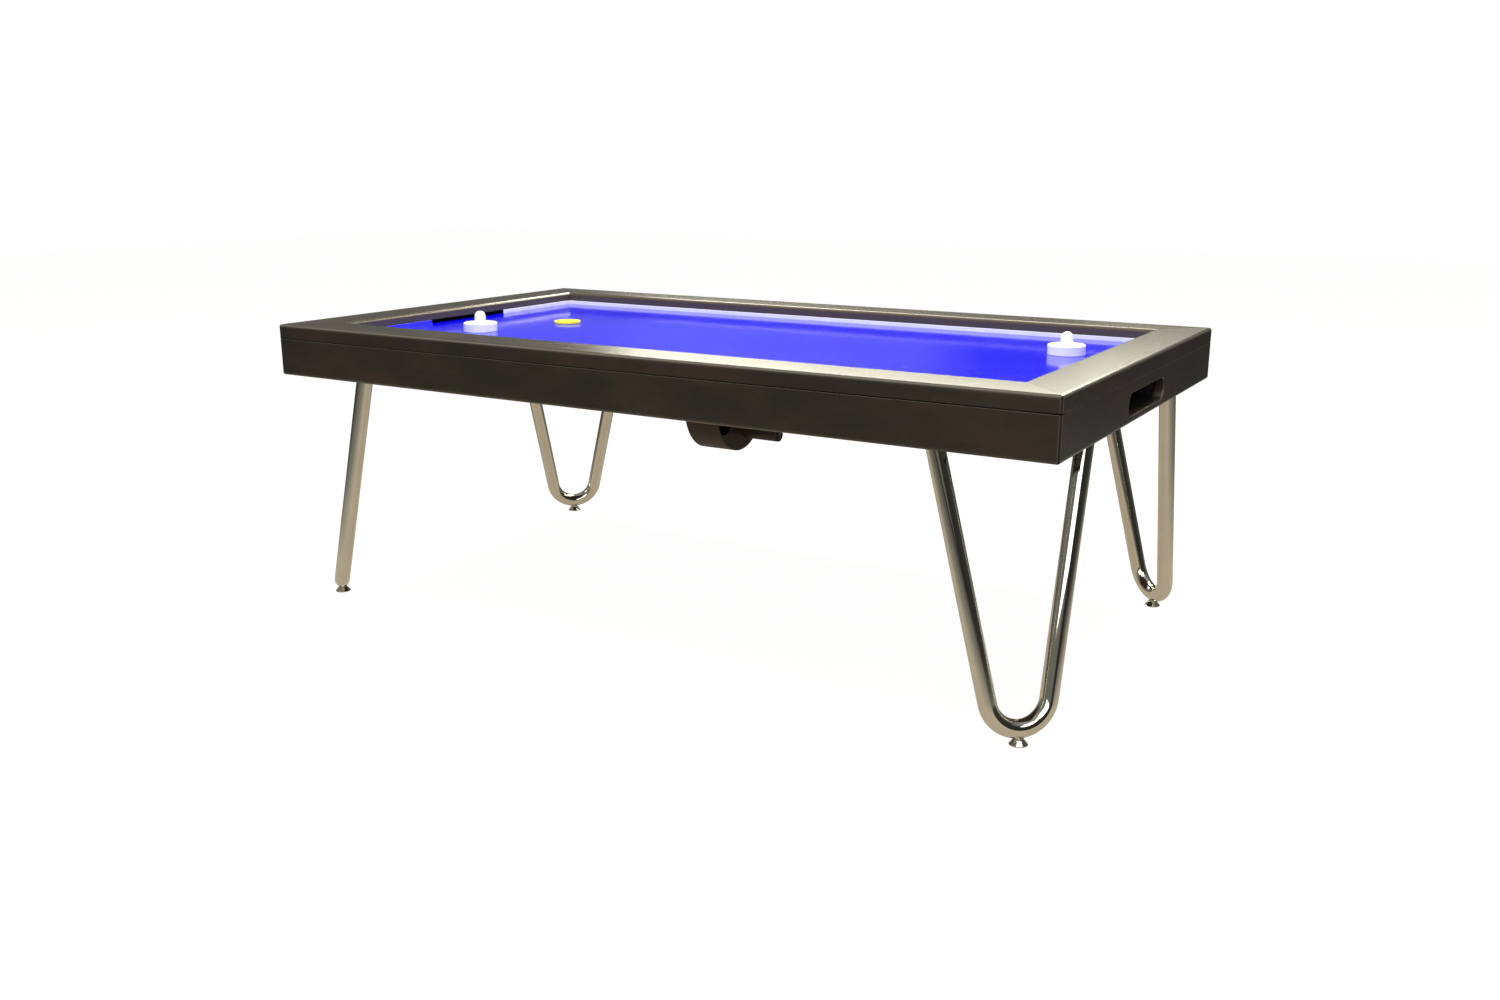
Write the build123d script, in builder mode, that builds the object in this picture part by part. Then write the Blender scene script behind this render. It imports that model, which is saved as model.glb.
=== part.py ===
from build123d import *
from math import asin, atan, hypot, sqrt, tan
import os

# Air hockey table, seven-foot size, on four bent-tube hairpin legs. Millimetres.
# The origin is on the floor under the middle of the table. +X runs along the table to its
# right end, +Y to its back and +Z up. Every sub-part is written in the place where it stands.

os.makedirs("parts", exist_ok=True)

# ---- driving dimensions of the table -------------------------------------------------------------
table_length = 2134
table_width = 1200
rail_top = 748
rail_width = 120
rail_thickness = 37
apron_height = 97
apron_thickness = 22
mitre_gap = 0.2
mitre_round = 3.2
seam_round = 3
edge_round = 9
apron_foot_round = 9.5
foot_inset_x = 79
foot_inset_y = 81

# ---- playfield, puck rails and goals -------------------------------------------------------------
playfield_thickness = 6
playfield_margin_x = 22
playfield_margin_y = 20
puck_rail_height = 11
puck_rail_thickness = 8
puck_rail_proud = 1
goal_width = 305
goal_hood_height = 22
hood_setback = 5
liner_wall = 2
return_length = 290
return_height = 50
return_lip = 4
return_middle = 657

# ---- air box and frame under the playfield -------------------------------------------------------
air_box_wall = 18
air_box_floor_thickness = 6
air_box_floor_bottom = 650
rib_positions = (-520, 80, 520)
bearer_positions = (-660, -230, 230, 660)
bearer_width = 40
bearer_bottom = 616
block_reach = 320
block_bottom = 620

# ---- legs and feet -------------------------------------------------------------------------------
tube_diameter = 40
tube_wall = 2
bend_radius = 70
bend_bottom = 35
leg_top_spread = 328
leg_lean = 0.179
plate_width = 64
bolt_diameter = 8
stud_diameter = 10
foot_diameter = 40
foot_neck = 22
foot_height = 12.5
jam_nut_thickness = 2.5

# ---- blower --------------------------------------------------------------------------------------
blower_height = 533
blower_radius = 116.5
blower_length = 97
blower_wall = 3
duct_width = 70
wheel_radius = 80
wheel_eye_radius = 64
blade_count = 24
shaft_diameter = 8
motor_radius = 50
motor_length = 84
port_radius = 30
port_circle = 85
port_angles = (203.5, 143.5, 83.5, 23.5)
running_gap = 0.05

# ---- playing pieces ------------------------------------------------------------------------------
float_gap = 0.3
puck_diameter = 76.2
puck_thickness = 7
puck_place = (-623, 60)
mallet_diameter = 92
mallet_height = 55
mallet_places = {"left": (-713, -208), "right": (817, 183)}

# ---- worked-out levels and spans -----------------------------------------------------------------
seam = rail_top - rail_thickness
apron_bottom = seam - apron_height
field_length = table_length - 2 * rail_width
field_width = table_width - 2 * rail_width
bay_length = table_length - 2 * apron_thickness
bay_width = table_width - 2 * apron_thickness
panel_length = field_length + 2 * playfield_margin_x
panel_width = field_width + 2 * playfield_margin_y
playfield_bottom = seam - playfield_thickness
air_box_floor_top = air_box_floor_bottom + air_box_floor_thickness
tray_depth = (bay_length - panel_length) / 2

# A side's frame: local x along the side, local y from its outer face inwards, z up.
sides = {
    "front": Plane(origin=(0, -table_width / 2, 0), x_dir=(1, 0, 0), z_dir=(0, 0, 1)),
    "back": Plane(origin=(0, table_width / 2, 0), x_dir=(-1, 0, 0), z_dir=(0, 0, 1)),
    "left": Plane(origin=(-table_length / 2, 0, 0), x_dir=(0, -1, 0), z_dir=(0, 0, 1)),
    "right": Plane(origin=(table_length / 2, 0, 0), x_dir=(0, 1, 0), z_dir=(0, 0, 1)),
}
corners = {"front_left": (-1, -1), "front_right": (1, -1), "back_left": (-1, 1), "back_right": (1, 1)}


def save(part, name):
    """Label a finished sub-part and write it to its own file."""
    part.label = name
    export_step(part, f"parts/{name}.step")
    print(f"{name}: {len(part.solids())} solids, {part.volume / 1000:.1f} cm3")


def side_length(name):
    """Outer length of a side of the table."""
    return table_length if name in ("front", "back") else table_width


# ---- top rails and aprons ------------------------------------------------------------------------

def mitred_board(name, bottom, height, depth, inner_top, outer_top, outer_bottom):
    """A board along one side with 45 degree ends, each end a hair short of its neighbour's.

    The last three values are the radii of its long edges; 0 leaves an edge sharp. The outer
    corners at the mitres are rounded in plan, so that two boards meet in a shallow groove.
    """
    half = side_length(name) / 2
    plane = sides[name]
    end = Plane(origin=plane.from_local_coords((-half, 0, bottom)), x_dir=plane.y_dir, z_dir=plane.x_dir)
    mitre = half - mitre_gap
    with BuildPart() as board:
        with BuildSketch(end) as profile:
            Rectangle(depth, height, align=(Align.MIN, Align.MIN))
            fillet(profile.vertices().group_by(Axis.X)[0].sort_by(Axis.Y)[-1], radius=outer_top)
            fillet(profile.vertices().group_by(Axis.X)[0].sort_by(Axis.Y)[0], radius=outer_bottom)
            if inner_top:
                fillet(profile.vertices().group_by(Axis.X)[-1].sort_by(Axis.Y)[-1], radius=inner_top)
        extrude(amount=2 * half)
        with BuildSketch(plane.offset(bottom)) as plan:
            with BuildLine():
                Polyline((-mitre, 0), (mitre, 0), (mitre - depth, depth), (depth - mitre, depth), close=True)
            make_face()
            fillet(plan.vertices().group_by(Axis.Y)[0], radius=mitre_round)
        extrude(amount=height, mode=Mode.INTERSECT)
    return board


def hood_depth():
    """Depth of the space over the puck tray, from the playfield's edge outwards."""
    return tray_depth - hood_setback


def hood_middle():
    """Middle of that space, measured inwards from the table's outer face."""
    return rail_width - playfield_margin_x - hood_depth() / 2


def top_rail(name):
    """A rail board with the rebate for its puck rail and, at the ends, the pocket of the goal."""
    board = mitred_board(name, seam, rail_thickness, rail_width, edge_round, edge_round, seam_round)
    rebate = puck_rail_thickness - puck_rail_proud
    plane = sides[name].offset(seam)
    with BuildPart() as rail:
        add(board.part)
        with BuildSketch(plane):
            with Locations((0, rail_width - rebate / 2)):
                Rectangle(side_length(name), rebate)
        extrude(amount=puck_rail_height, mode=Mode.SUBTRACT)
        if name in ("left", "right"):
            with BuildSketch(plane):
                with Locations((0, rail_width - playfield_margin_x / 2)):
                    Rectangle(goal_width + 2 * liner_wall, playfield_margin_x)
            extrude(amount=puck_rail_height + liner_wall, mode=Mode.SUBTRACT)
            with BuildSketch(plane):
                with Locations((0, hood_middle())):
                    Rectangle(goal_width + 2 * liner_wall, hood_depth())
            extrude(amount=goal_hood_height + liner_wall, mode=Mode.SUBTRACT)
    return rail.part


def goal_liner(name):
    """Black plastic lining of the goal slot and of the hood over the puck tray, open below."""
    plane = sides[name].offset(seam)
    deep = hood_depth()
    with BuildPart() as liner:
        with BuildSketch(plane):
            with Locations((0, rail_width - playfield_margin_x / 2)):
                Rectangle(goal_width + 2 * liner_wall, playfield_margin_x)
        extrude(amount=puck_rail_height + liner_wall)
        with BuildSketch(plane):
            with Locations((0, hood_middle())):
                Rectangle(goal_width + 2 * liner_wall, deep)
        extrude(amount=goal_hood_height + liner_wall)
        with BuildSketch(plane):
            with Locations((0, rail_width - (playfield_margin_x + liner_wall) / 2)):
                Rectangle(goal_width, playfield_margin_x + liner_wall)
        extrude(amount=puck_rail_height, mode=Mode.SUBTRACT)
        with BuildSketch(plane):
            with Locations((0, hood_middle() + liner_wall / 2)):
                Rectangle(goal_width, deep - liner_wall)
        extrude(amount=goal_hood_height, mode=Mode.SUBTRACT)
    return liner.part


def apron(name):
    """An apron board; the end ones have the pill-shaped puck return opening with a soft lip."""
    board = mitred_board(name, apron_bottom, apron_height, apron_thickness, 0, seam_round, apron_foot_round)
    plane = sides[name]
    middle = plane.origin + Vector(0, 0, return_middle)
    face_plane = Plane(origin=middle, x_dir=plane.x_dir, z_dir=-plane.y_dir)
    with BuildPart() as panel:
        add(board.part)
        if name in ("left", "right"):
            with BuildSketch(face_plane):
                SlotOverall(return_length, return_height)
            extrude(amount=-apron_thickness, mode=Mode.SUBTRACT)
            pierced_faces = [face for face in panel.faces() if face.inner_wires()]
            outer_face = max(pierced_faces, key=lambda face: abs(face.center().X))
            fillet(outer_face.inner_wires()[0].edges(), radius=return_lip)
    return panel.part


for side in sides:
    save(top_rail(side), f"{side}_rail")
    save(apron(side), f"{side}_apron")
for side in ("left", "right"):
    save(goal_liner(side), f"{side}_goal_liner")


# ---- puck rails ----------------------------------------------------------------------------------

def puck_rail(name):
    """White strip in the rail's rebate; at the ends it stops each side of the goal."""
    plane = sides[name].offset(seam)
    half = side_length(name) / 2
    front = rail_width + puck_rail_proud
    back = front - puck_rail_thickness
    with BuildPart() as strip:
        with BuildSketch(plane):
            with BuildLine():
                Polyline((back - half, back), (half - back, back), (half - front, front),
                         (front - half, front), close=True)
            make_face()
        extrude(amount=puck_rail_height)
        along = Axis(plane.origin, plane.x_dir)
        top_edges = strip.edges().filter_by(along).group_by(Axis.Z)[-1]
        fillet(top_edges.sort_by_distance((0, 0, rail_top))[0], radius=puck_rail_proud)
        if name in ("left", "right"):
            with BuildSketch(plane):
                with Locations((0, rail_width)):
                    Rectangle(goal_width + 2 * liner_wall, 4 * puck_rail_thickness)
            extrude(amount=puck_rail_height, mode=Mode.SUBTRACT)
    return strip.part


save(puck_rail("front"), "front_puck_rail")
save(puck_rail("back"), "back_puck_rail")
save(puck_rail("left"), "left_puck_rails")
save(puck_rail("right"), "right_puck_rails")


# ---- playfield and air box -----------------------------------------------------------------------

with BuildPart() as playfield:
    with BuildSketch(Plane.XY.offset(playfield_bottom)):
        Rectangle(panel_length, panel_width)
    extrude(amount=playfield_thickness)
save(playfield.part, "playfield")


def air_box_board(length_x, length_y, place_x, place_y):
    """One upright board of the air box under the playfield."""
    with BuildPart() as board:
        with BuildSketch(Plane.XY.offset(air_box_floor_top)):
            with Locations((place_x, place_y)):
                Rectangle(length_x, length_y)
        extrude(amount=playfield_bottom - air_box_floor_top)
    return board.part


side_y = (panel_width - air_box_wall) / 2
end_x = (panel_length - air_box_wall) / 2
clear_width = panel_width - 2 * air_box_wall
save(air_box_board(panel_length, air_box_wall, 0, -side_y), "air_box_front_side")
save(air_box_board(panel_length, air_box_wall, 0, side_y), "air_box_back_side")
save(air_box_board(air_box_wall, clear_width, -end_x, 0), "air_box_left_end")
save(air_box_board(air_box_wall, clear_width, end_x, 0), "air_box_right_end")

# The blower's duct: its outer size, and the clear port that it shares with the air box floor.
duct_x = -blower_wall - blower_length / 2
duct_y = -blower_radius + duct_width / 2
port_x = blower_length - 2 * blower_wall
port_y = duct_width - 2 * blower_wall

with BuildPart() as air_box_floor:
    with BuildSketch(Plane.XY.offset(air_box_floor_bottom)):
        Rectangle(panel_length, panel_width)
        with Locations((duct_x, duct_y)):
            Rectangle(port_x, port_y, mode=Mode.SUBTRACT)
    extrude(amount=air_box_floor_thickness)
save(air_box_floor.part, "air_box_floor")

notch_radius = 16
notch_count = 6
with BuildPart() as air_box_ribs:
    with BuildSketch(Plane.XY.offset(air_box_floor_top)):
        with Locations([(x, 0) for x in rib_positions]):
            Rectangle(air_box_wall, clear_width)
    extrude(amount=playfield_bottom - air_box_floor_top)
    with BuildSketch(Plane.YZ.offset(-panel_length / 2)):
        with Locations((0, air_box_floor_top)):
            with GridLocations(clear_width / notch_count, 0, notch_count, 1):
                Circle(notch_radius)
    extrude(amount=panel_length, mode=Mode.SUBTRACT)
save(air_box_ribs.part, "air_box_ribs")


# ---- cross bearers, their brackets and the corner blocks -----------------------------------------

bearer_height = air_box_floor_bottom - bearer_bottom
bearer_ease = 2
with BuildPart() as cross_bearers:
    with BuildSketch(Plane.XY.offset(bearer_bottom)):
        with Locations([(x, 0) for x in bearer_positions]):
            Rectangle(bearer_width, bay_width)
    extrude(amount=bearer_height)
    chamfer(cross_bearers.edges().filter_by(Axis.Y).group_by(Axis.Z)[0], length=bearer_ease)
save(cross_bearers.part, "cross_bearers")

bracket_leg = 36
bracket_thickness = 3
bracket_height = 26
bracket_bottom = bearer_bottom + (bearer_height - bracket_height) / 2
bracket_middle = bracket_bottom + bracket_height / 2
screw_reach = 21
screw_hole = 5


def bracket_places():
    """Inner corner of each angle bracket: on the bearer's outward face, at both aprons."""
    for x in bearer_positions:
        out = 1 if x > 0 else -1
        for front_or_back in (-1, 1):
            yield x + out * bearer_width / 2, front_or_back * bay_width / 2, out, -front_or_back


def bracket_screw_planes(x, y, out, inward):
    """Planes of a bracket's two screw heads, on its leg along the apron and its leg on the bearer."""
    on_apron = (x + out * screw_reach, y + inward * bracket_thickness, bracket_middle)
    on_bearer = (x + out * bracket_thickness, y + inward * screw_reach, bracket_middle)
    return (Plane(origin=on_apron, x_dir=(1, 0, 0), z_dir=(0, inward, 0)),
            Plane(origin=on_bearer, x_dir=(0, 1, 0), z_dir=(out, 0, 0)))


with BuildPart() as bearer_brackets:
    for x, y, out, inward in bracket_places():
        with BuildSketch(Plane.XY.offset(bracket_bottom)):
            with Locations((x + out * bracket_leg / 2, y + inward * bracket_thickness / 2)):
                Rectangle(bracket_leg, bracket_thickness)
            with Locations((x + out * bracket_thickness / 2, y + inward * bracket_leg / 2)):
                Rectangle(bracket_thickness, bracket_leg)
        extrude(amount=bracket_height)
        for hole_plane in bracket_screw_planes(x, y, out, inward):
            with BuildSketch(hole_plane):
                Circle(screw_hole / 2)
            extrude(amount=-bracket_thickness, mode=Mode.SUBTRACT)
save(bearer_brackets.part, "bearer_brackets")


def pan_screw(plane, shank_radius, shank_length, head_radius, head_height):
    """A pan-head screw whose head stands on the plane, its shank going down through it."""
    with BuildPart() as screw:
        with BuildSketch(plane):
            Circle(head_radius)
        extrude(amount=head_height)
        head_rim = screw.edges().filter_by(GeomType.CIRCLE).sort_by_distance(plane.origin)[-1]
        fillet(head_rim, radius=head_height * 0.6)
        with BuildSketch(plane):
            Circle(shank_radius)
        extrude(amount=-shank_length)
    return screw.part


screw_shank = 2.4
screw_head = 4.5
screw_head_height = 2.5
pan_screws = []
for place in bracket_places():
    for head_plane in bracket_screw_planes(*place):
        screw = pan_screw(head_plane, screw_shank, bracket_thickness, screw_head, screw_head_height)
        pan_screws.append(screw)


def foot_centre(corner):
    """Where a foot's axis meets the floor."""
    sx, sy = corners[corner]
    return Vector(sx * (table_length / 2 - foot_inset_x), sy * (table_width / 2 - foot_inset_y), 0)


def leg_top_centre(corner):
    """Middle of a leg's two tube ends, at the underside of its plate."""
    sx, sy = corners[corner]
    rise = apron_bottom - bend_bottom
    pull = leg_lean * rise / sqrt(2)
    return foot_centre(corner) - Vector(sx * pull, sy * pull, 0)


bolt_along = 85
bolt_across = 20
bolt_points = [(a, b) for a in (-bolt_along, bolt_along) for b in (-bolt_across, bolt_across)]


def leg_top_plane(corner, height):
    """Plane at a leg's top: local x runs along the V of the leg, local y towards the table's middle."""
    sx, sy = corners[corner]
    centre = leg_top_centre(corner)
    return Plane(origin=(centre.X, centre.Y, height), x_dir=(sx, -sy, 0), z_dir=(0, 0, 1))


bolt_hole = bolt_diameter + 0.4
bolt_hole_depth = 26
bolt_reach = bolt_hole_depth - 2
bolt_head = 7
bolt_head_height = 4.4
with BuildPart() as corner_blocks:
    for corner, (sx, sy) in corners.items():
        cx = sx * bay_length / 2
        cy = sy * bay_width / 2
        with BuildSketch(Plane.XY.offset(block_bottom)):
            with BuildLine():
                Polyline((cx, cy), (cx - sx * block_reach, cy), (cx, cy - sy * block_reach), close=True)
            make_face()
        extrude(amount=air_box_floor_bottom - block_bottom)
        with BuildSketch(leg_top_plane(corner, block_bottom)):
            with Locations(bolt_points):
                Circle(bolt_hole / 2)
        extrude(amount=bolt_hole_depth, mode=Mode.SUBTRACT)
save(corner_blocks.part, "corner_blocks")

plate_thickness = block_bottom - apron_bottom
plate_clearance = 0.5
with BuildPart() as leg_plates:
    for corner in corners:
        plane = leg_top_plane(corner, apron_bottom)
        with BuildSketch(plane):
            SlotCenterToCenter(leg_top_spread, plate_width)
            with Locations(bolt_points):
                Circle(bolt_hole / 2, mode=Mode.SUBTRACT)
        extrude(amount=plate_thickness)
    with BuildSketch(Plane.XY.offset(apron_bottom)):
        Rectangle(bay_length - 2 * plate_clearance, bay_width - 2 * plate_clearance)
    extrude(amount=plate_thickness, mode=Mode.INTERSECT)
save(leg_plates.part, "leg_plates")

leg_bolts = []
for corner in corners:
    under_plate = leg_top_plane(corner, apron_bottom)
    for a, b in bolt_points:
        place = under_plate.from_local_coords(Vector(a, b, 0))
        head_down = Plane(origin=place, x_dir=(1, 0, 0), z_dir=(0, 0, -1))
        shank_length = plate_thickness + bolt_reach
        leg_bolts.append(pan_screw(head_down, bolt_diameter / 2, shank_length, bolt_head, bolt_head_height))
save(Part(children=leg_bolts), "leg_bolts")


# ---- legs ----------------------------------------------------------------------------------------

bush_diameter = 14
nut_across_flats = 17
bush_top = bend_bottom - 2
tube_bottom = bend_bottom - tube_diameter / 2


def hairpin_leg(corner):
    """A V of bent tube. Its plane stands across the table's corner and leans towards the middle."""
    sx, sy = corners[corner]
    across = Vector(sx, -sy, 0).normalized()
    up = (Vector(-sx, -sy, 0).normalized() * leg_lean + Vector(0, 0, 1)).normalized()
    bottom = foot_centre(corner) + Vector(0, 0, bend_bottom)
    v_plane = Plane(origin=bottom, x_dir=across, z_dir=across.cross(up))
    rise = (apron_bottom - bend_bottom) / up.Z
    half_spread = leg_top_spread / 2
    above_bend = rise - bend_radius
    half_angle = atan(half_spread / above_bend) - asin(bend_radius / hypot(half_spread, above_bend))
    overshoot = tube_diameter
    top_x = half_spread + overshoot * tan(half_angle)
    point_y = rise - half_spread / tan(half_angle)
    with BuildPart() as leg:
        with BuildLine(v_plane) as path:
            FilletPolyline((-top_x, rise + overshoot), (0, point_y), (top_x, rise + overshoot),
                           radius=bend_radius)
        start = Plane(origin=path.line @ 0, x_dir=v_plane.z_dir, z_dir=path.line % 0)
        with BuildSketch(start):
            Circle(tube_diameter / 2)
            Circle(tube_diameter / 2 - tube_wall, mode=Mode.SUBTRACT)
        sweep(path=path.line)
        split(bisect_by=Plane.XY.offset(apron_bottom), keep=Keep.BOTTOM)
        with BuildSketch(Plane(foot_centre(corner))):
            Circle(bush_diameter / 2)
        extrude(amount=bend_bottom, mode=Mode.SUBTRACT)
    return leg.part


for corner in corners:
    save(hairpin_leg(corner), f"{corner}_leg")

foot_places = [(foot_centre(c).X, foot_centre(c).Y) for c in corners]
stud_hole = stud_diameter + 2 * running_gap
with BuildPart() as leg_bushes:
    with BuildSketch(Plane.XY.offset(tube_bottom)):
        with Locations(foot_places):
            Circle(bush_diameter / 2)
            Circle(stud_hole / 2, mode=Mode.SUBTRACT)
    extrude(amount=bush_top - tube_bottom)
save(leg_bushes.part, "leg_bushes")

with BuildPart() as jam_nuts:
    with BuildSketch(Plane.XY.offset(tube_bottom - jam_nut_thickness)):
        with Locations(foot_places):
            RegularPolygon(radius=nut_across_flats / 2, side_count=6, major_radius=False)
            Circle(stud_hole / 2, mode=Mode.SUBTRACT)
    extrude(amount=jam_nut_thickness)
save(jam_nuts.part, "jam_nuts")


def levelling_foot(corner):
    """Turned cone glide with its threaded stud, standing on the floor."""
    foot_plane = Plane(origin=foot_centre(corner), x_dir=(1, 0, 0), z_dir=(0, -1, 0))
    rim = foot_diameter / 2
    neck = foot_neck / 2
    stud = stud_diameter / 2
    stud_top = bend_bottom + 12
    with BuildPart() as foot:
        with BuildSketch(foot_plane):
            with BuildLine():
                Polyline((0, 0), (rim - 0.5, 0), (rim, 0.5), (rim, 1.6), (rim - 1, 2.4),
                         (neck + 0.6, foot_height - 0.6), (neck, foot_height), (stud, foot_height),
                         (stud, stud_top - 1), (stud - 1, stud_top), (0, stud_top), close=True)
            make_face()
        revolve(axis=Axis(foot_centre(corner), (0, 0, 1)))
    return foot.part


for corner in corners:
    save(levelling_foot(corner), f"{corner}_foot")


# ---- puck trays ----------------------------------------------------------------------------------

tray_wall = 4
tray_slope = 8
tray_inside = return_length / 2 + 15
tray_floor = return_middle - return_height / 2


def puck_tray(name):
    """Tray under the goal: its floor slopes down to the return opening in the apron."""
    out = 1 if name == "right" else -1
    inner_x = out * panel_length / 2
    wall_x = inner_x + out * tray_wall
    outer_x = out * bay_length / 2
    with BuildPart() as tray:
        with BuildSketch(Plane.XZ.offset(-tray_inside - tray_wall)):
            with BuildLine():
                Polyline((inner_x, tray_floor - tray_wall), (outer_x, tray_floor - tray_wall),
                         (outer_x, playfield_bottom), (inner_x, playfield_bottom), close=True)
            make_face()
        extrude(amount=2 * (tray_inside + tray_wall))
        with BuildSketch(Plane.XZ.offset(-tray_inside)):
            with BuildLine():
                Polyline((wall_x, tray_floor + tray_slope), (outer_x, tray_floor),
                         (outer_x, playfield_bottom), (wall_x, playfield_bottom), close=True)
            make_face()
        extrude(amount=2 * tray_inside, mode=Mode.SUBTRACT)
    return tray.part


for side in ("left", "right"):
    save(puck_tray(side), f"{side}_puck_tray")


# ---- blower: housing, cover, inlet ring ----------------------------------------------------------
# The blower's axis lies along X. Its back plate carries the motor on the left, and its cover,
# with the intake ports, closes it on the right at X = 0.

cover_thickness = blower_wall
back_x = -cover_thickness - blower_length
duct_flange = 16
duct_flange_thickness = 4
duct_flange_corner = 6
duct_screw_hole = 5
bearing_radius = 11
bearing_length = 8
boss_radius = 15
front_bearing_x = back_x - 12
shaft_hole = shaft_diameter / 2 + 1
housing_fit = 0.2


def yz_at(x, y=0, z=blower_height):
    """Plane square to the blower's axis at x: local x is +Y, local y is +Z."""
    return Plane(origin=(x, y, z), x_dir=(0, 1, 0), z_dir=(1, 0, 0))


duct_rise = air_box_floor_bottom - blower_height
flange_bottom = air_box_floor_bottom - duct_flange_thickness
flange_x = blower_length + 2 * duct_flange
flange_y = duct_width + 2 * duct_flange
with BuildPart() as blower_housing:
    with BuildSketch(yz_at(back_x)):
        Circle(blower_radius)
        with Locations((duct_y, duct_rise / 2)):
            Rectangle(duct_width, duct_rise)
    extrude(amount=blower_length)
    with BuildSketch(Plane.XY.offset(flange_bottom)):
        with Locations((duct_x, duct_y)):
            RectangleRounded(flange_x, flange_y, duct_flange_corner)
    extrude(amount=duct_flange_thickness)
    with BuildSketch(yz_at(back_x + blower_wall)):
        Circle(blower_radius - blower_wall)
        with Locations((duct_y, duct_rise / 2)):
            Rectangle(duct_width - 2 * blower_wall, duct_rise)
    extrude(amount=blower_length - 2 * blower_wall, mode=Mode.SUBTRACT)
    with BuildSketch(yz_at(-cover_thickness - blower_wall)):
        Circle(blower_radius - blower_wall)
    extrude(amount=blower_wall, mode=Mode.SUBTRACT)
    with BuildSketch(yz_at(front_bearing_x)):
        Circle(boss_radius)
    extrude(amount=back_x - front_bearing_x)
    with BuildSketch(yz_at(front_bearing_x)):
        Circle(bearing_radius)
    extrude(amount=bearing_length, mode=Mode.SUBTRACT)
    with BuildSketch(yz_at(front_bearing_x)):
        Circle(shaft_hole)
    extrude(amount=back_x - front_bearing_x + blower_wall, mode=Mode.SUBTRACT)
    with BuildSketch(Plane.XY.offset(flange_bottom)):
        with Locations((duct_x, duct_y)):
            with GridLocations(blower_length + duct_flange, duct_width + duct_flange, 2, 2):
                Circle(duct_screw_hole / 2)
    extrude(amount=duct_flange_thickness, mode=Mode.SUBTRACT)
save(blower_housing.part, "blower_housing")

for i in (-1, 1):
    for j in (-1, 1):
        screw_x = duct_x + i * (blower_length + duct_flange) / 2
        screw_y = duct_y + j * (duct_width + duct_flange) / 2
        head_plane = Plane(origin=(screw_x, screw_y, flange_bottom), x_dir=(1, 0, 0), z_dir=(0, 0, -1))
        screw = pan_screw(head_plane, screw_shank, duct_flange_thickness, screw_head, screw_head_height)
        pan_screws.append(screw)
save(Part(children=pan_screws), "pan_screws")

with BuildPart() as blower_cover:
    with BuildSketch(yz_at(-cover_thickness)):
        Circle(blower_radius)
        with PolarLocations(port_circle, len(port_angles), start_angle=port_angles[-1], angular_range=180,
                            endpoint=True):
            Circle(port_radius, mode=Mode.SUBTRACT)
    extrude(amount=cover_thickness)
    with BuildSketch(yz_at(-cover_thickness)):
        Circle(blower_radius - blower_wall - housing_fit)
        Circle(blower_radius - 2 * blower_wall, mode=Mode.SUBTRACT)
    extrude(amount=-blower_wall)
save(blower_cover.part, "blower_cover")

ring_x = -22
ring_thickness = 2
with BuildPart() as inlet_ring:
    with BuildSketch(yz_at(ring_x)):
        Circle(blower_radius - blower_wall)
        Circle(wheel_eye_radius, mode=Mode.SUBTRACT)
    extrude(amount=ring_thickness)
    eye_rims = inlet_ring.edges().filter_by(GeomType.CIRCLE).group_by(SortBy.RADIUS)[0]
    fillet(eye_rims.sort_by(Axis.X)[-1], radius=ring_thickness * 0.75)
save(inlet_ring.part, "inlet_ring")


# ---- blower: what turns, and the motor -----------------------------------------------------------

wheel_back = back_x + 9
wheel_front = ring_x - 4
wheel_plate = 2
blade_thickness = 1.6
blade_angle = 30
hub_radius = 12
hub_length = 20
hub_back = wheel_back - 2
blade_depth = wheel_radius - wheel_eye_radius
with BuildPart() as blower_wheel:
    with BuildSketch(yz_at(wheel_back)):
        Circle(wheel_radius)
    extrude(amount=wheel_plate)
    with BuildSketch(yz_at(wheel_front - wheel_plate)):
        Circle(wheel_radius)
        Circle(wheel_eye_radius, mode=Mode.SUBTRACT)
    extrude(amount=wheel_plate)
    with BuildSketch(yz_at(wheel_back)):
        with PolarLocations((wheel_radius + wheel_eye_radius) / 2, blade_count):
            Rectangle(blade_depth, blade_thickness, rotation=blade_angle)
    extrude(amount=wheel_front - wheel_back)
    with BuildSketch(yz_at(hub_back)):
        Circle(hub_radius)
    extrude(amount=hub_length)
    with BuildSketch(yz_at(hub_back)):
        Circle(shaft_diameter / 2)
    extrude(amount=hub_length, mode=Mode.SUBTRACT)
save(blower_wheel.part, "blower_wheel")

motor_back = back_x - motor_length
rear_bearing_x = motor_back + 3
shaft_back = rear_bearing_x + 1
with BuildPart() as blower_shaft:
    with BuildSketch(yz_at(shaft_back)):
        Circle(shaft_diameter / 2)
    extrude(amount=hub_back + hub_length - shaft_back)
    chamfer(blower_shaft.edges().filter_by(GeomType.CIRCLE), length=0.6)
save(blower_shaft.part, "blower_shaft")

motor_wall = 3
motor_edge_round = 5
vent_count = 12
vent_circle = 31
with BuildPart() as motor_case:
    with BuildSketch(yz_at(motor_back)):
        Circle(motor_radius)
    extrude(amount=motor_length)
    fillet(motor_case.edges().filter_by(GeomType.CIRCLE).sort_by(Axis.X)[0], radius=motor_edge_round)
    with BuildSketch(yz_at(motor_back + motor_wall)):
        Circle(motor_radius - motor_wall)
    extrude(amount=motor_length - motor_wall, mode=Mode.SUBTRACT)
    with BuildSketch(yz_at(rear_bearing_x)):
        Circle(boss_radius)
        Circle(bearing_radius, mode=Mode.SUBTRACT)
    extrude(amount=bearing_length)
    with BuildSketch(yz_at(motor_back)):
        with PolarLocations(vent_circle, vent_count):
            SlotOverall(18, 5)
    extrude(amount=motor_wall, mode=Mode.SUBTRACT)
save(motor_case.part, "motor_case")

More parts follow.
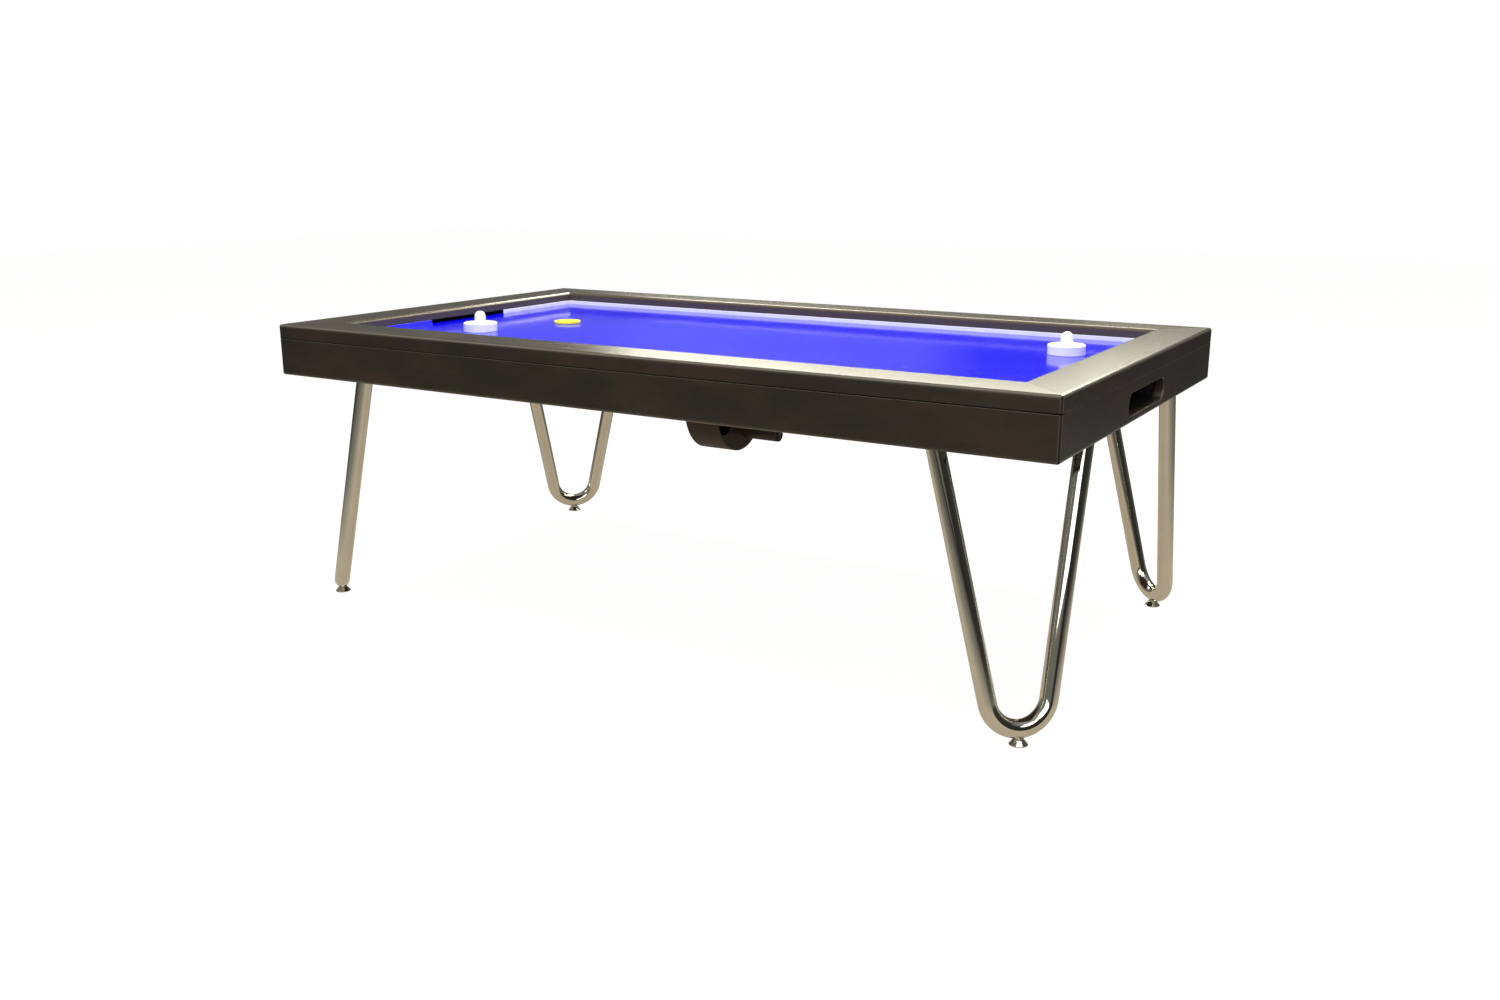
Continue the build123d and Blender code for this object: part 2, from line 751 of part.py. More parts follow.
core_back = motor_back + 22
core_length = 44
rotor_radius = 26
air_gap = 2
slot_count = 12
slot_circle = 31
with BuildPart() as motor_stator:
    with BuildSketch(yz_at(core_back)):
        Circle(motor_radius - motor_wall)
        Circle(rotor_radius + air_gap, mode=Mode.SUBTRACT)
        with PolarLocations(slot_circle, slot_count):
            Rectangle(8, 5, mode=Mode.SUBTRACT)
    extrude(amount=core_length)
save(motor_stator.part, "motor_stator")

with BuildPart() as motor_rotor:
    with BuildSketch(yz_at(core_back)):
        Circle(rotor_radius)
        Circle(shaft_diameter / 2, mode=Mode.SUBTRACT)
    extrude(amount=core_length)
    chamfer(motor_rotor.edges().filter_by(GeomType.CIRCLE).group_by(SortBy.RADIUS)[-1], length=1)
save(motor_rotor.part, "motor_rotor")

with BuildPart() as motor_bearings:
    for x in (rear_bearing_x, front_bearing_x):
        with BuildSketch(yz_at(x)):
            Circle(bearing_radius)
            Circle(shaft_diameter / 2 + running_gap, mode=Mode.SUBTRACT)
        extrude(amount=bearing_length)
save(motor_bearings.part, "motor_bearings")


# ---- control box with mains inlet and switch -----------------------------------------------------

box_length = 98
box_low_y = 13
box_high_y = 56
box_bottom = blower_height - 90
box_top = blower_height - 18
box_wall = 2.5
panel_inset = 1
panel_thickness = 2
panel_fit = 0.1
box_middle_y = (box_low_y + box_high_y) / 2
box_middle_z = (box_bottom + box_top) / 2
box_width = box_high_y - box_low_y
box_height = box_top - box_bottom


def box_section(inset):
    """Section of the control box, smaller all round by inset, with its lower corners well rounded."""
    with BuildSketch() as section:
        Rectangle(box_width - 2 * inset, box_height - 2 * inset)
        fillet(section.vertices().group_by(Axis.Y)[0].sort_by(Axis.X)[0], radius=21 - inset)
        fillet(section.vertices().group_by(Axis.Y)[0].sort_by(Axis.X)[-1], radius=18 - inset)
        fillet(section.vertices().group_by(Axis.Y)[-1], radius=6 - inset)
    return section.sketch


def box_plane(x):
    """Plane square to the control box at x, centred on its section."""
    return yz_at(x, box_middle_y, box_middle_z)


with BuildPart() as control_box:
    with BuildSketch(box_plane(0)):
        add(box_section(0))
    extrude(amount=box_length)
    with BuildSketch(box_plane(box_wall)):
        add(box_section(box_wall))
    extrude(amount=box_length, mode=Mode.SUBTRACT)
save(control_box.part, "control_box")

panel_face = box_length - panel_inset
panel_x = panel_face - panel_thickness
inlet_y = box_middle_y
inlet_z = box_top - 23.5
inlet_width = 27
inlet_height = 20
switch_y = box_middle_y
switch_z = box_bottom + 17
switch_width = 13
switch_height = 19.2
with BuildPart() as control_panel:
    with BuildSketch(box_plane(panel_x)):
        add(box_section(box_wall + panel_fit))
    extrude(amount=panel_thickness)
    with BuildSketch(yz_at(panel_x)):
        with Locations((inlet_y, inlet_z - blower_height)):
            Rectangle(inlet_height, inlet_width)
        with Locations((switch_y, switch_z - blower_height)):
            Rectangle(switch_width, switch_height)
    extrude(amount=panel_thickness, mode=Mode.SUBTRACT)
save(control_panel.part, "control_panel")

inlet_depth = 18
inlet_bezel = 2
inlet_base = 2
inlet_pin_length = 14
inlet_tab_length = 5


def inlet_plane(x):
    """Plane square to the inlet's depth at x: local x is +Z, local y is -Y."""
    return Plane(origin=(x, inlet_y, inlet_z), x_dir=(0, 0, 1), z_dir=(1, 0, 0))


inlet_base_plane = inlet_plane(panel_face - inlet_depth)
with BuildSketch() as pin_section:
    with Locations((-7, -2), (0, 2), (7, -2)):
        Rectangle(2, 4)
with BuildPart() as mains_inlet:
    with BuildSketch(inlet_plane(panel_face)):
        RectangleRounded(inlet_width + 12, inlet_height + 5, 3)
    extrude(amount=inlet_bezel)
    with BuildSketch(inlet_plane(panel_face)):
        Rectangle(inlet_width - 0.4, inlet_height - 0.4)
    extrude(amount=-inlet_depth)
    with BuildSketch(inlet_plane(panel_face + inlet_bezel)) as socket:
        Rectangle(24, 16.6)
        chamfer(socket.vertices().group_by(Axis.Y)[-1], length=4)
    extrude(amount=inlet_base - inlet_depth - inlet_bezel, mode=Mode.SUBTRACT)
    with BuildSketch(inlet_base_plane):
        add(pin_section.sketch)
    extrude(amount=inlet_base, mode=Mode.SUBTRACT)
save(mains_inlet.part, "mains_inlet")

with BuildPart() as inlet_pins:
    with BuildSketch(inlet_base_plane.offset(-inlet_tab_length)):
        add(pin_section.sketch)
    extrude(amount=inlet_tab_length + inlet_base + inlet_pin_length)
save(inlet_pins.part, "inlet_pins")

switch_depth = 14
switch_bezel = 1.5
with BuildPart() as switch_housing:
    with BuildSketch(yz_at(panel_face, switch_y, switch_z)):
        RectangleRounded(switch_width + 2.4, switch_height + 2.4, 1.5)
    extrude(amount=switch_bezel)
    with BuildSketch(yz_at(panel_face, switch_y, switch_z)):
        Rectangle(switch_width - 0.2, switch_height - 0.2)
    extrude(amount=-switch_depth)
    with BuildSketch(yz_at(panel_face + switch_bezel, switch_y, switch_z)):
        Rectangle(switch_width - 1.6, switch_height - 1.2)
    extrude(amount=-switch_depth, mode=Mode.SUBTRACT)
save(switch_housing.part, "switch_housing")

rocker_tilt = 8
rocker_half = 8.2
rocker_width = switch_width - 2.4
rocker_side = (panel_face, switch_y - rocker_width / 2, switch_z)
rocker_plane = Plane(origin=rocker_side, x_dir=(1, 0, 0), z_dir=(0, -1, 0))
with BuildPart() as power_rocker:
    with BuildSketch(rocker_plane.rotated((0, rocker_tilt, 0))):
        with BuildLine():
            Polyline((0, -rocker_half), (3.6, -rocker_half), (2.4, 0), (3.6, rocker_half), (0, rocker_half),
                     (-6, 1.5), (-6, -1.5), close=True)
        make_face()
    extrude(amount=-rocker_width)
    fillet(power_rocker.edges().filter_by(Axis.Y).group_by(Axis.X)[-1], radius=0.6)
save(power_rocker.part, "power_rocker")

capacitor_radius = 12.5
capacitor_length = 42
with BuildPart() as run_capacitor:
    with BuildSketch(yz_at(box_wall, box_middle_y, box_top - 19)):
        Circle(capacitor_radius)
    extrude(amount=capacitor_length)
    fillet(run_capacitor.edges().filter_by(GeomType.CIRCLE), radius=1.5)
save(run_capacitor.part, "run_capacitor")


# ---- mallets and puck ----------------------------------------------------------------------------

felt_thickness = 2
felt_proud = 0.5
deck = 24
knob_radius = 15
knob_fillet = 4
rim_radius = mallet_diameter / 2
felt_inset = 2
felt_width = 6
felt_radius = rim_radius - felt_inset
skirt_radius = felt_radius - felt_width
deck_thickness = 4
rim_round = 3
knob_hollow = 11


def mallet(place):
    """Moulded mallet: a disc with a rounded rim, a domed knob, and a hollow underside."""
    centre = Vector(place[0], place[1], seam + float_gap)
    section_plane = Plane(origin=centre, x_dir=(1, 0, 0), z_dir=(0, -1, 0))
    knob_shoulder = mallet_height - knob_radius
    deck_underside = deck - deck_thickness
    rim_top = deck - rim_round
    deck_radius = rim_radius - rim_round
    fillet_radius = knob_radius + knob_fillet
    with BuildPart() as body:
        with BuildSketch(section_plane):
            with BuildLine():
                Polyline((skirt_radius, felt_thickness), (felt_radius, felt_thickness),
                         (felt_radius, felt_proud), (rim_radius, felt_proud), (rim_radius, rim_top))
                TangentArc((rim_radius, rim_top), (deck_radius, deck), tangent=(0, 1))
                Line((deck_radius, deck), (fillet_radius, deck))
                TangentArc((fillet_radius, deck), (knob_radius, deck + knob_fillet), tangent=(-1, 0))
                Line((knob_radius, deck + knob_fillet), (knob_radius, knob_shoulder))
                TangentArc((knob_radius, knob_shoulder), (0, mallet_height), tangent=(0, 1))
                Polyline((0, mallet_height), (0, knob_shoulder), (knob_hollow, knob_shoulder),
                         (knob_hollow, deck_underside), (skirt_radius, deck_underside),
                         (skirt_radius, felt_thickness))
            make_face()
        revolve(axis=Axis(centre, (0, 0, 1)))
    return body.part


def mallet_felt(place):
    """Felt ring glued into the underside of the mallet's rim, standing a little proud of it."""
    with BuildPart() as felt:
        with BuildSketch(Plane.XY.offset(seam + float_gap)):
            with Locations(place):
                Circle(felt_radius)
                Circle(skirt_radius, mode=Mode.SUBTRACT)
        extrude(amount=felt_thickness)
    return felt.part


for name, place in mallet_places.items():
    save(mallet(place), f"{name}_mallet")
    save(mallet_felt(place), f"{name}_mallet_felt")

with BuildPart() as puck:
    with BuildSketch(Plane.XY.offset(seam + float_gap)):
        with Locations(puck_place):
            Circle(puck_diameter / 2)
    extrude(amount=puck_thickness)
    fillet(puck.edges().filter_by(GeomType.CIRCLE), radius=1.2)
save(puck.part, "puck")
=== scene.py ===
from math import cos, pi, radians, sin

import bpy
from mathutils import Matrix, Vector


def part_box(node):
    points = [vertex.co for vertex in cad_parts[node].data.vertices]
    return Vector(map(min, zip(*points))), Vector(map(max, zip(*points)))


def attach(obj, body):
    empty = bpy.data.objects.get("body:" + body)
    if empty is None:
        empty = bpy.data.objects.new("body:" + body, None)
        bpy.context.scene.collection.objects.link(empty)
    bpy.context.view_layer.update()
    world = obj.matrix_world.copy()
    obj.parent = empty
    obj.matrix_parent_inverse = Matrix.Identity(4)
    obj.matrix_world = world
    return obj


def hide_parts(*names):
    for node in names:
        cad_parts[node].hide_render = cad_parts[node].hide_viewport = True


# The looks of an air hockey table: a glossy blue playfield in a dark stained frame, on four
# polished hairpin legs. Metres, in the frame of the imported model: +X right, +Y back, +Z up.

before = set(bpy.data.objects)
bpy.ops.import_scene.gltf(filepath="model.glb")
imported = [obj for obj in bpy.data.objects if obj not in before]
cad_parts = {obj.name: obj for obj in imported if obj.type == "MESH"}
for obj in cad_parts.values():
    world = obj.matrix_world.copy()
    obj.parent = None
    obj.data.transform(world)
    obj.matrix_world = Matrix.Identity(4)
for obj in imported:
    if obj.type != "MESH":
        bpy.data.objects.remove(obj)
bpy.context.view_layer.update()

# ---- camera, floor and light ---------------------------------------------------------------------
camera_place = Vector((1.8330, -3.0005, 1.1742))
camera_aim = Vector((0.7541, -1.2059, 0.6402))
camera_lens = 32.206
floor_size = 30
floor_seen = (0.96, 0.96, 0.96)
floor_glow = ((0.0, (0.56, 0.46, 0.36)), (0.1, (0.50, 0.42, 0.33)), (0.2, (0.30, 0.27, 0.22)),
              (0.35, (0.12, 0.12, 0.10)), (0.9, (0.01, 0.01, 0.01)))
floor_reach = 3.0
foot_spread_x = 1.0
foot_spread_y = 0.5


def make_camera():
    """The camera stands at the front right, a little above the table."""
    data = bpy.data.cameras.new("camera")
    data.lens = camera_lens
    data.sensor_width = 36
    camera = bpy.data.objects.new("camera", data)
    camera.location = camera_place
    camera.rotation_euler = (camera_aim - camera_place).to_track_quat("-Z", "Y").to_euler()
    bpy.context.scene.collection.objects.link(camera)
    bpy.context.scene.camera = camera


def new_object(name, vertices, faces):
    """A mesh object made from lists of vertices and faces."""
    mesh = bpy.data.meshes.new(name)
    mesh.from_pydata(vertices, [], faces)
    mesh.update()
    piece = bpy.data.objects.new(name, mesh)
    bpy.context.scene.collection.objects.link(piece)
    return piece


def soft_box(name, place, aim, width, height, radiance, colour, diffuse=True, glossy=True):
    """A rectangular studio light that the camera itself doesn't see."""
    data = bpy.data.lights.new(name, "AREA")
    data.shape = "RECTANGLE"
    data.size = width
    data.size_y = height
    data.energy = radiance * pi * width * height
    data.color = colour
    lamp = bpy.data.objects.new(name, data)
    lamp.location = place
    lamp.rotation_euler = (Vector(aim) - Vector(place)).to_track_quat("-Z", "Y").to_euler()
    lamp.visible_camera = False
    lamp.visible_diffuse = diffuse
    lamp.visible_glossy = glossy
    bpy.context.scene.collection.objects.link(lamp)


def around(azimuth, distance, height):
    """A place at an azimuth, clockwise from the back of the table, and a distance from its middle."""
    return (distance * sin(radians(azimuth)), distance * cos(radians(azimuth)), height)


# ---- shader helpers ------------------------------------------------------------------------------

def new_finish(name):
    """A new material with its node tree and its shader."""
    material = bpy.data.materials.new(name)
    material.use_nodes = True
    tree = material.node_tree
    return material, tree, tree.nodes["Principled BSDF"]


def add_node(tree, kind, inputs=(), **settings):
    """A node with its settings, and its inputs set to a value or joined to an output."""
    node = tree.nodes.new("ShaderNode" + kind)
    for key, value in settings.items():
        setattr(node, key, value)
    for key, value in dict(inputs).items():
        if isinstance(value, bpy.types.NodeSocket):
            tree.links.new(value, node.inputs[key])
        else:
            node.inputs[key].default_value = value
    return node


def stretched(tree, stretch):
    """The piece's own coordinates, scaled along each axis."""
    place = add_node(tree, "TexCoord").outputs["Object"]
    return add_node(tree, "Mapping", {"Vector": place, "Scale": stretch}).outputs["Vector"]


def noise(tree, scale, stretch=(1, 1, 1), detail=4, rough=0.55, distortion=0):
    """Cloudy variation from 0 to 1."""
    inputs = {"Vector": stretched(tree, stretch), "Scale": scale, "Detail": detail,
              "Roughness": rough, "Distortion": distortion}
    return add_node(tree, "TexNoise", inputs).outputs["Fac"]


def ramp(tree, source, stops):
    """Colours along a value. Each stop is a position and a colour."""
    node = add_node(tree, "ValToRGB", {"Fac": source})
    elements = node.color_ramp.elements
    elements.remove(elements[1])
    elements[0].position = stops[0][0]
    elements[0].color = (*stops[0][1], 1)
    for position, colour in stops[1:]:
        elements.new(position).color = (*colour, 1)
    return node.outputs["Color"]


def spread(tree, source, low, high, start=0.3, end=0.7):
    """A value taken from between start and end to between low and high."""
    inputs = {"Value": source, "From Min": start, "From Max": end, "To Min": low, "To Max": high}
    return add_node(tree, "MapRange", inputs).outputs["Result"]


def place_axes(tree):
    """The X, Y and Z of the piece's own coordinates, as the outputs of one node."""
    place = add_node(tree, "TexCoord").outputs["Object"]
    return add_node(tree, "SeparateXYZ", {"Vector": place}).outputs


def mix(tree, factor, first, second):
    """A colour between two, each an output or a plain colour: the first at 0, the second at 1."""
    node = add_node(tree, "Mix", {"Factor": factor}, data_type="RGBA")
    for key, value in (("A", first), ("B", second)):
        if isinstance(value, bpy.types.NodeSocket):
            tree.links.new(value, node.inputs[key])
        else:
            node.inputs[key].default_value = (*value, 1)
    return node.outputs["Result"]


def math(tree, operation, first, second=0.0):
    """The result of a sum on one or two values."""
    node = add_node(tree, "Math", operation=operation)
    for socket, value in zip(node.inputs, (first, second)):
        if isinstance(value, bpy.types.NodeSocket):
            tree.links.new(value, socket)
        else:
            socket.default_value = value
    return node.outputs["Value"]


def edges(tree):
    """Where the painted highlight goes: 0 where a surface faces along an axis or downward, up to 1 halfway
    round a rounded edge.
    """
    normal = add_node(tree, "NewGeometry").outputs["Normal"]
    height = add_node(tree, "SeparateXYZ", {"Vector": normal}).outputs["Z"]
    sizes = add_node(tree, "VectorMath", {0: normal}, operation="ABSOLUTE").outputs["Vector"]
    axes = add_node(tree, "SeparateXYZ", {"Vector": sizes})
    largest = math(tree, "MAXIMUM", axes.outputs["X"], axes.outputs["Y"])
    largest = math(tree, "MAXIMUM", largest, axes.outputs["Z"])
    upward = math(tree, "GREATER_THAN", height, downward_limit)
    return math(tree, "MULTIPLY", spread(tree, largest, 1.0, 0.0, edge_full, edge_none), upward)


def in_well(tree):
    """Where painted light goes: 1 on the walls of the well round the playfield, 0 elsewhere on the rails.
    """
    axes = place_axes(tree)
    between_ends = math(tree, "LESS_THAN", math(tree, "ABSOLUTE", axes["X"]), well_half_length)
    between_sides = math(tree, "LESS_THAN", math(tree, "ABSOLUTE", axes["Y"]), well_half_width)
    return math(tree, "MULTIPLY", between_ends, between_sides)


def in_seam(tree):
    """Where painted shade goes: 1 in the groove between the rails and the aprons, 0 elsewhere."""
    offset = math(tree, "SUBTRACT", place_axes(tree)["Z"], seam_level)
    return math(tree, "LESS_THAN", math(tree, "ABSOLUTE", offset), seam_reach)


def relief(tree, shader, height, depth):
    """Fine relief, as deep as given in metres."""
    node = add_node(tree, "Bump", {"Height": height, "Distance": depth, "Strength": 1.0})
    tree.links.new(node.outputs["Normal"], shader.inputs["Normal"])


def fill(tree, shader, **values):
    """Sets the shader's inputs; a word's underscores stand for spaces."""
    for key, value in values.items():
        socket = shader.inputs[key.replace("_", " ").title().replace("Ior", "IOR")]
        if isinstance(value, bpy.types.NodeSocket):
            tree.links.new(value, socket)
        else:
            socket.default_value = value


# ---- finishes ------------------------------------------------------------------------------------

def plain_finish(name, dark, light, cloud, roughness, grit, depth, metallic=0.0, tint=(1, 1, 1, 1)):
    """Moulded, painted or plated: a little cloudy in colour and gloss, with a fine texture."""
    material, tree, shader = new_finish(name)
    clouds = noise(tree, cloud)
    fill(tree, shader, base_color=ramp(tree, clouds, ((0.35, dark), (0.65, light))),
         roughness=spread(tree, clouds, *roughness), metallic=metallic, specular_tint=tint)
    relief(tree, shader, noise(tree, grit, detail=2), depth)
    return material


def wood_finish(name, dark, middle, light, along, roughness, depth):
    """Dark wood. Its grain runs along one axis, 0 for X, 1 for Y or 2 for Z."""
    material, tree, shader = new_finish(name)
    flow = [1.0, 1.0, 1.0]
    flow[along] = 0.35
    pores = [1.0, 1.0, 1.0]
    pores[along] = 0.03
    figure = noise(tree, 7.0, flow, detail=3, rough=0.5, distortion=0.6)
    streaks = noise(tree, 260.0, pores, detail=3, rough=0.6)
    shade = math(tree, "ADD", math(tree, "MULTIPLY", figure, 0.6), math(tree, "MULTIPLY", streaks, 0.4))
    fill(tree, shader, base_color=ramp(tree, shade, ((0.36, dark), (0.5, middle), (0.64, light))),
         roughness=spread(tree, streaks, *roughness))
    relief(tree, shader, streaks, depth)
    return material


def stained_finish(name, along):
    """Wood stained almost black under satin lacquer, with soft brown and green-brown clouds.

    Painted highlight makes it paler at the rounded edges, painted light makes it paler on the walls of the
    well, and painted shade makes it black in the seam.
    """
    material, tree, shader = new_finish(name)
    flow = [1.0, 1.0, 1.0]
    flow[along] = 0.45
    clouds = noise(tree, 9.0, flow, detail=4, rough=0.55, distortion=0.4)
    gloss = noise(tree, 3.0, flow, detail=0)
    colour = mix(tree, edges(tree), ramp(tree, clouds, stain), painted_edge_highlight)
    colour = mix(tree, in_well(tree), colour, painted_well_light)
    colour = mix(tree, in_seam(tree), colour, seam_shade)
    fill(tree, shader, base_color=colour, roughness=spread(tree, gloss, 0.26, 0.29),
         specular_tint=(1.0, 0.96, 0.86, 1))
    return material


def puck_rail_finish():
    """White moulding; its length in front of the goal, at the left end, is painted the playfield's blue as
    painted shade, lit only by light thrown up from the blue playfield.
    """
    material, tree, shader = new_finish("puck_rail")
    clouds = noise(tree, 20)
    white = ramp(tree, clouds, ((0.35, (0.80, 0.80, 0.80)), (0.65, (0.86, 0.86, 0.86))))
    # Painted shade: the shadowed length of the white moulding, coloured as if lit only by the blue
    # playfield.
    blue = ramp(tree, clouds, ((0.35, (0.030, 0.030, 0.72)), (0.65, (0.035, 0.035, 0.78))))
    behind = math(tree, "GREATER_THAN", place_axes(tree)["Y"], 0.0)
    fill(tree, shader, base_color=mix(tree, behind, blue, white),
         roughness=spread(tree, clouds, 0.28, 0.38))
    return material


# Stained wood: its colours, and where on the rails and aprons each is found, including the painted
# highlight, painted light and painted shade. An edge counts in full where the largest part of its normal
# is edge_full, and not at all from edge_none.
stain = ((0.36, (0.022, 0.0215, 0.0150)), (0.5, (0.029, 0.0255, 0.0180)), (0.64, (0.042, 0.030, 0.021)))
# Painted highlight on the rounded edges, paler where light catches them.
painted_edge_highlight = (0.11, 0.095, 0.075)
# Painted light on the walls of the well, as thrown up from the playfield.
painted_well_light = (0.075, 0.060, 0.036)
seam_shade = (0.002, 0.002, 0.002)
edge_full = 0.74
edge_none = 0.96
downward_limit = -0.2
well_half_length = 0.951
well_half_width = 0.484
seam_level = 0.7117
seam_reach = 0.0017

# Dark underframe: the dark, middle and light of each wood.
ply = ((0.030, 0.022, 0.015), (0.042, 0.031, 0.021), (0.056, 0.042, 0.029))
pine = ((0.034, 0.023, 0.014), (0.048, 0.033, 0.020), (0.064, 0.045, 0.028))

finishes = {
    "black_plastic": plain_finish("black_plastic", (0.010, 0.010, 0.011), (0.016, 0.016, 0.017),
                                  30, (0.35, 0.5), 1500, 0.00003),
    "white_plastic": plain_finish("white_plastic", (0.80, 0.80, 0.80), (0.86, 0.86, 0.86),
                                  20, (0.28, 0.38), 900, 0.00001),
    "plywood": wood_finish("plywood", *ply, 0, (0.55, 0.7), 0.0001),
    "pine": wood_finish("pine", *pine, 1, (0.55, 0.7), 0.0001),
    "zinc_steel": plain_finish("zinc_steel", (0.50, 0.51, 0.53), (0.62, 0.63, 0.65),
                               90, (0.3, 0.45), 700, 0.00002, 1.0),
    "black_steel": plain_finish("black_steel", (0.012, 0.012, 0.012), (0.020, 0.020, 0.020),
                                40, (0.35, 0.5), 900, 0.00005),
    "bright_nickel": plain_finish("bright_nickel", (0.61, 0.60, 0.51), (0.65, 0.64, 0.55),
                                  14, (0.035, 0.06), 60, 0.00001, 1.0),
    "plain_steel": plain_finish("plain_steel", (0.42, 0.42, 0.43), (0.52, 0.52, 0.53),
                                60, (0.25, 0.4), 800, 0.00001, 1.0),
    "blower_plastic": plain_finish("blower_plastic", (0.0100, 0.0075, 0.0042), (0.0140, 0.0105, 0.0060),
                                   18, (0.5, 0.6), 1100, 0.00004, tint=(1.0, 0.88, 0.70, 1)),
    "grey_plastic": plain_finish("grey_plastic", (0.008, 0.008, 0.008), (0.012, 0.012, 0.012),
                                 40, (0.55, 0.65), 1100, 0.00003),
    "motor_paint": plain_finish("motor_paint", (0.030, 0.033, 0.036), (0.042, 0.046, 0.050),
                                40, (0.35, 0.5), 500, 0.00006),
    "capacitor_can": plain_finish("capacitor_can", (0.62, 0.62, 0.63), (0.72, 0.72, 0.73),
                                  50, (0.25, 0.35), 900, 0.00001, 1.0),
    "mallet_white": plain_finish("mallet_white", (0.92, 0.91, 0.85), (0.96, 0.95, 0.89),
                                 25, (0.25, 0.35), 900, 0.00001),
    "felt": plain_finish("felt", (0.10, 0.10, 0.11), (0.18, 0.18, 0.19), 900, (0.9, 1.0), 2500, 0.0003),
    "puck_yellow": plain_finish("puck_yellow", (0.86, 0.78, 0.03), (0.95, 0.88, 0.06),
                                40, (0.22, 0.3), 900, 0.00001),
    "blue_laminate": plain_finish("blue_laminate", (0.003, 0.0025, 0.72), (0.004, 0.003, 0.78),
                                  6, (0.10, 0.12), 40, 0.0000002),
    "puck_rail": puck_rail_finish(),
    "stained_wood_x": stained_finish("stained_wood_x", 0),
    "stained_wood_y": stained_finish("stained_wood_y", 1),
}


def dress_frame():
    """Each CAD node gets the finish of its slot; a stained board's grain runs along the board."""
    for name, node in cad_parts.items():
        for place in node.material_slots:
            slot = place.material.name.split(".")[0]
            if slot == "stained_wood":
                slot += "_y" if name.startswith(("left", "right")) else "_x"
            if name == "left_puck_rails":
                slot = "puck_rail"
            place.material = finishes[slot]


# ---- perforated playfield ------------------------------------------------------------------------
hole_pitch = 0.0254
hole_radius = 0.00075
hole_columns = 74
hole_rows = 38


def make_playfield():
    """The playfield sheet with its grid of air holes, each an octagon right through the sheet."""
    low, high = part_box("playfield")
    middle = (low + high) / 2
    half_x = hole_columns * hole_pitch / 2
    half_y = hole_rows * hole_pitch / 2
    grid_x = [middle.x - half_x + i * hole_pitch for i in range(hole_columns + 1)]
    grid_y = [middle.y - half_y + j * hole_pitch for j in range(hole_rows + 1)]
    lines_x = [low.x, *grid_x, high.x]
    lines_y = [low.y, *grid_y, high.y]
    angles = [radians(22.5 + 45 * k) for k in range(8)]
    rim = [(hole_radius * cos(angle), hole_radius * sin(angle)) for angle in angles]
    vertices = []
    faces = []
    levels = []
    for z in (low.z, high.z):
        corner = {}
        for i, x in enumerate(lines_x):
            for j, y in enumerate(lines_y):
                corner[i, j] = len(vertices)
                vertices.append((x, y, z))
        rings = {}
        for i in range(1, hole_columns + 1):
            for j in range(1, hole_rows + 1):
                cx = (lines_x[i] + lines_x[i + 1]) / 2
                cy = (lines_y[j] + lines_y[j + 1]) / 2
                rings[i, j] = [len(vertices) + k for k in range(8)]
                vertices.extend((cx + dx, cy + dy, z) for dx, dy in rim)
        levels.append((corner, rings))
    order = (-1, 1)
    for level, (corner, rings) in enumerate(levels):
        for i in range(len(lines_x) - 1):
            for j in range(len(lines_y) - 1):
                square = [corner[i + 1, j + 1], corner[i, j + 1], corner[i, j], corner[i + 1, j]]
                if (i, j) not in rings:
                    faces.append(square[::order[level]])
                    continue
                ring = rings[i, j]
                for k in range(4):
                    here, after = square[k], square[(k + 1) % 4]
                    a, b, c = ring[2 * k], ring[2 * k + 1], ring[(2 * k + 2) % 8]
                    faces.append([here, b, a][::order[level]])
                    faces.append([here, after, c, b][::order[level]])
    (low_corner, low_rings), (high_corner, high_rings) = levels
    for place, ring in high_rings.items():
        below = low_rings[place]
        for k in range(8):
            after = (k + 1) % 8
            faces.append([ring[k], ring[after], below[after], below[k]])
    last_x = len(lines_x) - 1
    last_y = len(lines_y) - 1
    outline = [(i, 0) for i in range(last_x)] + [(last_x, j) for j in range(last_y)]
    outline += [(i, last_y) for i in range(last_x, 0, -1)] + [(0, j) for j in range(last_y, 0, -1)]
    for here, after in zip(outline, outline[1:] + outline[:1]):
        faces.append([low_corner[here], low_corner[after], high_corner[after], high_corner[here]])
    piece = new_object("perforated_playfield", vertices, faces)
    piece.data.materials.append(finishes["blue_laminate"])
    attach(piece, "table")
    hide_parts("playfield")


# ---- stage ---------------------------------------------------------------------------------------

def make_floor():
    """A plain white floor. It glows, so that shadows on it stay soft, and is warm near the table."""
    half = floor_size / 2
    floor = new_object("floor", [(-half, -half, 0), (half, -half, 0), (half, half, 0), (-half, half, 0)],
                       [(0, 1, 2, 3)])
    material, tree, shader = new_finish("floor_white")
    axes = place_axes(tree)
    beside = math(tree, "SUBTRACT", math(tree, "ABSOLUTE", axes["X"]), foot_spread_x)
    before = math(tree, "SUBTRACT", math(tree, "ABSOLUTE", axes["Y"]), foot_spread_y)
    away = math(tree, "DIVIDE", math(tree, "MAXIMUM", beside, before), floor_reach)
    seen = add_node(tree, "LightPath").outputs["Is Camera Ray"]
    glow = mix(tree, seen, ramp(tree, away, floor_glow), floor_seen)
    fill(tree, shader, base_color=(0.12, 0.11, 0.10, 1), roughness=0.9, emission_color=glow,
         emission_strength=1.0)
    shader.inputs["Specular IOR Level"].default_value = 0.0
    floor.data.materials.append(material)


# Brightness of the walls by azimuth in degrees, clockwise from the back of the table.
wall_greys = ((-180, 0.20), (-60, 0.20), (-24, 0.20), (-21, 0.05), (-5, 0.05), (8, 0.12), (55, 0.12),
              (65, 0.05), (132, 0.03), (145, 0.2), (180, 0.2))
ceiling = (0.4, 0.4, 0.39)


